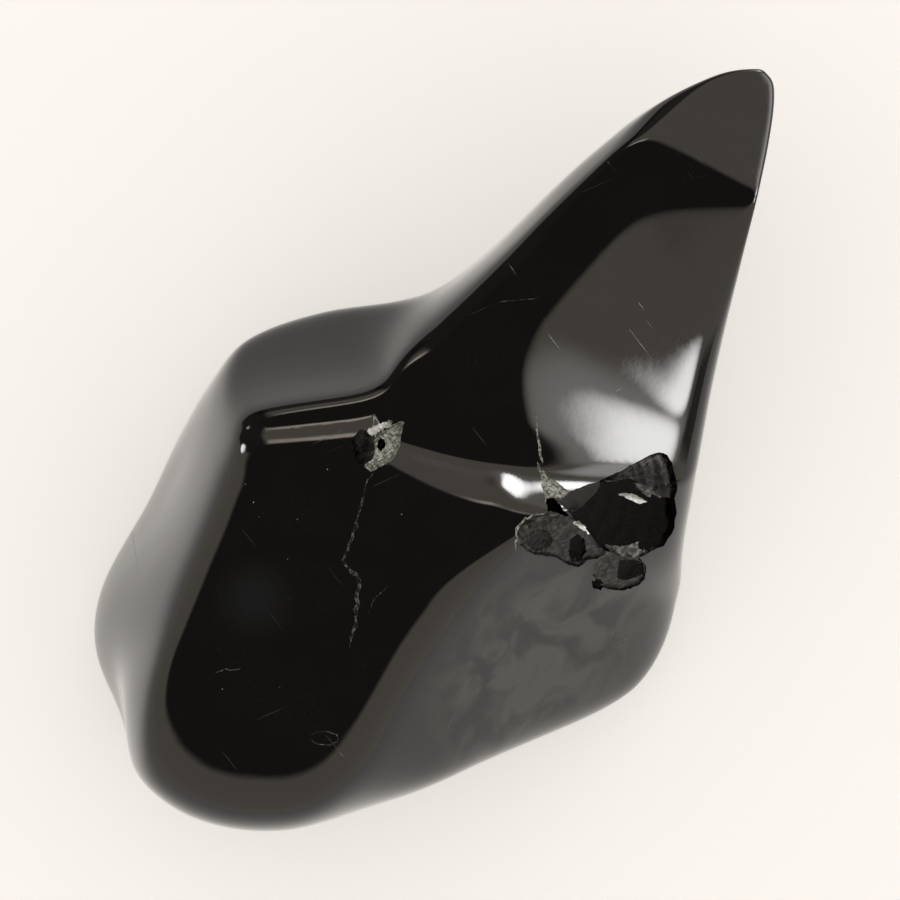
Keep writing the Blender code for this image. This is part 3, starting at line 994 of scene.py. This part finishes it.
class Weathering(Nodes):
    """A material with procedural textures, in millimetres of the stone's own frame."""

    def __init__(self, name):
        self.material, self.shader = new_material(name)
        super().__init__(self.material.node_tree)
        self.place = self.node("ShaderNodeTexCoord").outputs["Object"]
        self.whole = self.mapped()

    def finished(self, look):
        """The material, once the shader's inputs have their values."""
        self.fill(self.shader, look)
        return self.material

    def mapped(self, turn=(0.0, 0.0, 0.0), stretch=(1.0, 1.0, 1.0)):
        """Places in millimetres, turned and then squeezed along each axis."""
        node = self.node("ShaderNodeMapping", vector_type="TEXTURE")
        turned = [radians(angle) for angle in turn]
        scale = [MM * size for size in stretch]
        self.fill(node, {"Vector": self.place, "Rotation": turned, "Scale": scale})
        return node.outputs["Vector"]

    def noise(self, where, scale, detail, warp=0.0):
        node = self.node("ShaderNodeTexNoise")
        self.fill(node, {"Vector": where, "Scale": scale, "Detail": detail, "Distortion": warp})
        return node.outputs["Fac"]

    def tone(self, where, tone):
        """Noise that fades from 0 to 1 between two of its values."""
        noise, ends = tone
        return self.ramp(self.noise(where, *noise), *ends)

    def near(self, point, inner, outer):
        """1 within a distance in metres of a point, falling to 0 at the outer one."""
        node = self.node("ShaderNodeVectorMath", operation="DISTANCE")
        self.put(self.place, node.inputs[0])
        self.put(point, node.inputs[1])
        return self.ramp(node.outputs["Value"], outer, inner)

    def grains(self, scale):
        node = self.node("ShaderNodeTexVoronoi")
        self.fill(node, {"Vector": self.whole, "Scale": scale})
        return node.outputs["Distance"]

    def mix(self, share, first, second):
        """The first colour, with a share of the second laid over it."""
        node = self.node("ShaderNodeMix", data_type="RGBA")
        self.fill(node, {"Factor": share, "A": first, "B": second})
        return node.outputs["Result"]

    def bump(self, height, depth, strength):
        node = self.node("ShaderNodeBump")
        self.fill(node, {"Height": height, "Distance": depth * MM, "Strength": strength})
        return node.outputs["Normal"]


def obsidian():
    """Black glass, tumbled: clear in places, hazed in others, with hairline scratches and a painted
    reflection of the camera lens on the main face.
    """
    wear = Weathering("polished_obsidian")
    haze = wear.math("MULTIPLY", wear.tone(wear.whole, PATCHES), wear.tone(wear.whole, MOTTLE))
    cloud = wear.math("MULTIPLY", wear.tone(wear.whole, SCOOP_CLOUD), wear.near(*SCOOP_PATCH))
    marks = [wear.tone(wear.mapped(*laid), SCRATCH_MARKS) for laid in SCRATCH_SETS]
    lines = wear.math("MAXIMUM", *marks)
    colour = wear.mix(haze, GLASS_BLACK, GLASS_HAZE)
    colour = wear.mix(cloud, colour, SCOOP_HAZE)
    # A painted reflection of the camera lens: a soft pale spot on the main face.
    colour = wear.mix(wear.near(*LENS_REFLECTION_PATCH), colour, LENS_REFLECTION_PAINT)
    colour = wear.mix(lines, colour, SCRATCH_PALE)
    ripple = wear.math("SUBTRACT", wear.noise(wear.whole, *POLISH_RIPPLE), lines)
    return wear.finished({
        "Base Color": colour,
        "Roughness": wear.math("MULTIPLY_ADD", haze, HAZE_ROUGHER, GLASS_ROUGH),
        "Normal": wear.bump(ripple, *POLISH_RELIEF),
        "IOR": GLASS_IOR,
    })


def broken_glass(name, dark, pale, level, rough, grain):
    """A break in the glass, mottled between two tones, with a fine grain; on glint edges the pale tones are
    painted highlights.
    """
    wear = Weathering(name)
    return wear.finished({
        "Base Color": wear.mix(wear.tone(wear.whole, BREAK_TONE), dark, pale),
        "Normal": wear.bump(wear.noise(wear.whole, *BREAK_GRAIN), BREAK_RELIEF, grain),
        "Specular IOR Level": level,
        "Roughness": rough,
        "IOR": GLASS_IOR,
    })


def crushed_glass():
    """Powdered glass in the grooves and pits: pale gray-green grains of different brightness."""
    wear = Weathering("crushed")
    return wear.finished({
        "Base Color": wear.mix(wear.tone(wear.whole, CRUSHED_TONE), CRUSHED_DARK, CRUSHED_PALE),
        "Normal": wear.bump(wear.grains(CRUSHED_GRAIN), *CRUSHED_RELIEF),
        "Roughness": CRUSHED_ROUGH,
    })


def break_finishes():
    """The material that each kind of break leaves behind."""
    finishes = {name: broken_glass(name, *look) for name, look in BROKEN.items()}
    finishes["crushed"] = crushed_glass()
    return finishes


# ---------------- camera, floor, light

CLIP_START, CLIP_END = 0.01, 50.0  # metres
FLOOR_SIZE = 2.0  # metres

# The surface under the stone glows a little, which keeps it as pale as in the photo.
FLOOR_LOOK = {
    "Base Color": (0.86, 0.83, 0.79),
    "Roughness": 0.9,
    "Specular IOR Level": 0.1,
    "Emission Color": (1.0, 0.965, 0.92),
    "Emission Strength": 0.485,
}

ROOM_COLOUR = (1.12, 0.99, 0.84)
LAMP_COLOUR = (1.0, 1.0, 1.0)
ROOM_LEVEL = 1.08
SOFT_COLOUR, SOFT_LEVEL = (1.0, 0.98, 0.95), 0.6  # what lights the rough surfaces
BACKDROP_COLOUR, BACKDROP_LEVEL = (0.97, 0.95, 0.92), 0.95  # what the camera sees


@dataclass(frozen=True)
class Zone:
    """A part of the mirrored room that is darker or lighter than the rest, in degrees."""

    fades: tuple  # pairs of angles from the zenith, where it starts and where it is full
    band: tuple = ()  # its azimuth, and to each side of that where it is full and where it ends
    dim: float = 0.0  # share of the level that it takes away
    light: float = 0.0  # level that it adds


ZONES = (
    Zone(((34, 26),), dim=0.91),
    Zone(((28, 31), (38, 33)), (88, 8, 20), light=4.0),
    Zone(((26, 30), (108, 92)), (128, 15, 25), dim=0.88),
    Zone(((57, 63), (104, 94)), (98, 14, 24), dim=0.8),
    Zone(((60, 67), (104, 92)), (-12, 9, 19), dim=0.75),
)

# Soft lamps in the mirrored room: azimuth, elevation, the angles from there where one is full and
# where it ends, and its strength.
LAMPS = (
    (8, 39.5, 1, 13, 16.0),
    (5, 42, 4, 22, 2.2),
    (38, 37, 3, 17, 4.0),
    (-20, 42, 2, 11, 17.0),
    (65, 22.5, 0, 7, 24.0),
    (65, 22.5, 2, 12, 1.0),
    (147, 46, 3, 8.5, 18.0),
)


def add_camera():
    data = bpy.data.cameras.new("camera")
    data.sensor_width = SENSOR
    data.lens = SENSOR * CAMERA_DISTANCE / FIELD
    data.clip_start = CLIP_START
    data.clip_end = CLIP_END
    camera = bpy.data.objects.new("camera", data)
    camera.location = Vector(CAMERA_AIM) * MM + Vector((0, 0, CAMERA_DISTANCE * MM))
    bpy.context.collection.objects.link(camera)
    bpy.context.scene.camera = camera


def add_floor():
    shape = bmesh.new()
    bmesh.ops.create_grid(shape, x_segments=1, y_segments=1, size=FLOOR_SIZE)
    mesh = mesh_of(shape, "floor")
    floor = bpy.data.objects.new("floor", mesh)
    bpy.context.collection.objects.link(floor)
    material, shader = new_material("pale_floor")
    Nodes(material.node_tree).fill(shader, FLOOR_LOOK)
    mesh.materials.append(material)


class Sky(Nodes):
    """World nodes that shade the surroundings by direction."""

    def __init__(self, tree):
        super().__init__(tree)
        self.direction = self.node("ShaderNodeTexCoord").outputs["Generated"]
        parts = self.node("ShaderNodeSeparateXYZ")
        self.put(self.direction, parts.inputs[0])
        east, north, up = parts.outputs
        self.polar = self.math("DEGREES", self.math("ARCCOSINE", up))
        self.azimuth = self.math("DEGREES", self.math("ARCTAN2", north, east))

    def inside(self, zone):
        """1 in the zone and 0 outside it."""
        share = 1.0
        for fade in zone.fades:
            share = self.math("MULTIPLY", share, self.ramp(self.polar, *fade))
        if zone.band:
            azimuth, inner, outer = zone.band
            apart = self.math("ABSOLUTE", self.math("SUBTRACT", self.azimuth, azimuth))
            share = self.math("MULTIPLY", share, self.ramp(apart, outer, inner))
        return share

    def disc(self, azimuth, elevation, inner, outer):
        """1 within inner degrees of a direction, falling to 0 at outer."""
        turn, rise = radians(azimuth), radians(elevation)
        node = self.node("ShaderNodeVectorMath", operation="DOT_PRODUCT")
        middle = (cos(rise) * cos(turn), cos(rise) * sin(turn), sin(rise))
        self.put(self.direction, node.inputs[0])
        self.put(middle, node.inputs[1])
        return self.ramp(node.outputs["Value"], cos(radians(outer)), cos(radians(inner)))

    def room_level(self):
        """How bright the room is in each direction, as the polished faces mirror it."""
        level = ROOM_LEVEL
        for zone in ZONES:
            where = self.inside(zone)
            if zone.dim:
                kept = self.math("MULTIPLY_ADD", where, -zone.dim, 1.0)
                level = self.math("MULTIPLY", level, kept)
            else:
                level = self.math("MULTIPLY_ADD", where, zone.light, level)
        return level

    def lamp_level(self):
        level = 0.0
        for *where, strength in LAMPS:
            level = self.math("MULTIPLY_ADD", self.disc(*where), strength, level)
        return level

    def background(self, colour, strength):
        node = self.node("ShaderNodeBackground")
        self.fill(node, {"Color": colour, "Strength": strength})
        return node.outputs[0]

    def joined(self, kind, *sources):
        """A shader made of others, which fill its inputs in order."""
        node = self.node(kind)
        for socket, source in zip(node.inputs, sources):
            self.put(source, socket)
        return node.outputs[0]


def add_world():
    """The polished faces mirror a room; the camera and the rough floor see plain soft light."""
    world = bpy.data.worlds.new("studio")
    bpy.context.scene.world = world
    world.use_nodes = True
    world.node_tree.nodes.clear()
    sky = Sky(world.node_tree)
    walls = sky.background(ROOM_COLOUR, sky.room_level())
    lamps = sky.background(LAMP_COLOUR, sky.lamp_level())
    room = sky.joined("ShaderNodeAddShader", walls, lamps)
    soft = sky.background(SOFT_COLOUR, SOFT_LEVEL)
    plain = sky.background(BACKDROP_COLOUR, BACKDROP_LEVEL)
    rays = sky.node("ShaderNodeLightPath").outputs
    seen = sky.joined("ShaderNodeMixShader", rays["Is Glossy Ray"], soft, room)
    seen = sky.joined("ShaderNodeMixShader", rays["Is Camera Ray"], seen, plain)
    output = sky.node("ShaderNodeOutputWorld")
    sky.put(seen, output.inputs["Surface"])


def main():
    bpy.context.scene.view_settings.view_transform = "Standard"
    whole = fine_stone()
    fit = CadFit(values_of(whole.vertices, "co", 3))
    whole.materials.append(obsidian())
    mesh = with_damage(whole, break_finishes())
    cleaned(mesh)
    dress(mesh, fit)
    stone = bpy.data.objects.new("polished_stone", mesh)
    bpy.context.collection.objects.link(stone)
    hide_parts(NODE)
    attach(stone, BODY)
    add_camera()
    add_floor()
    add_world()


main()
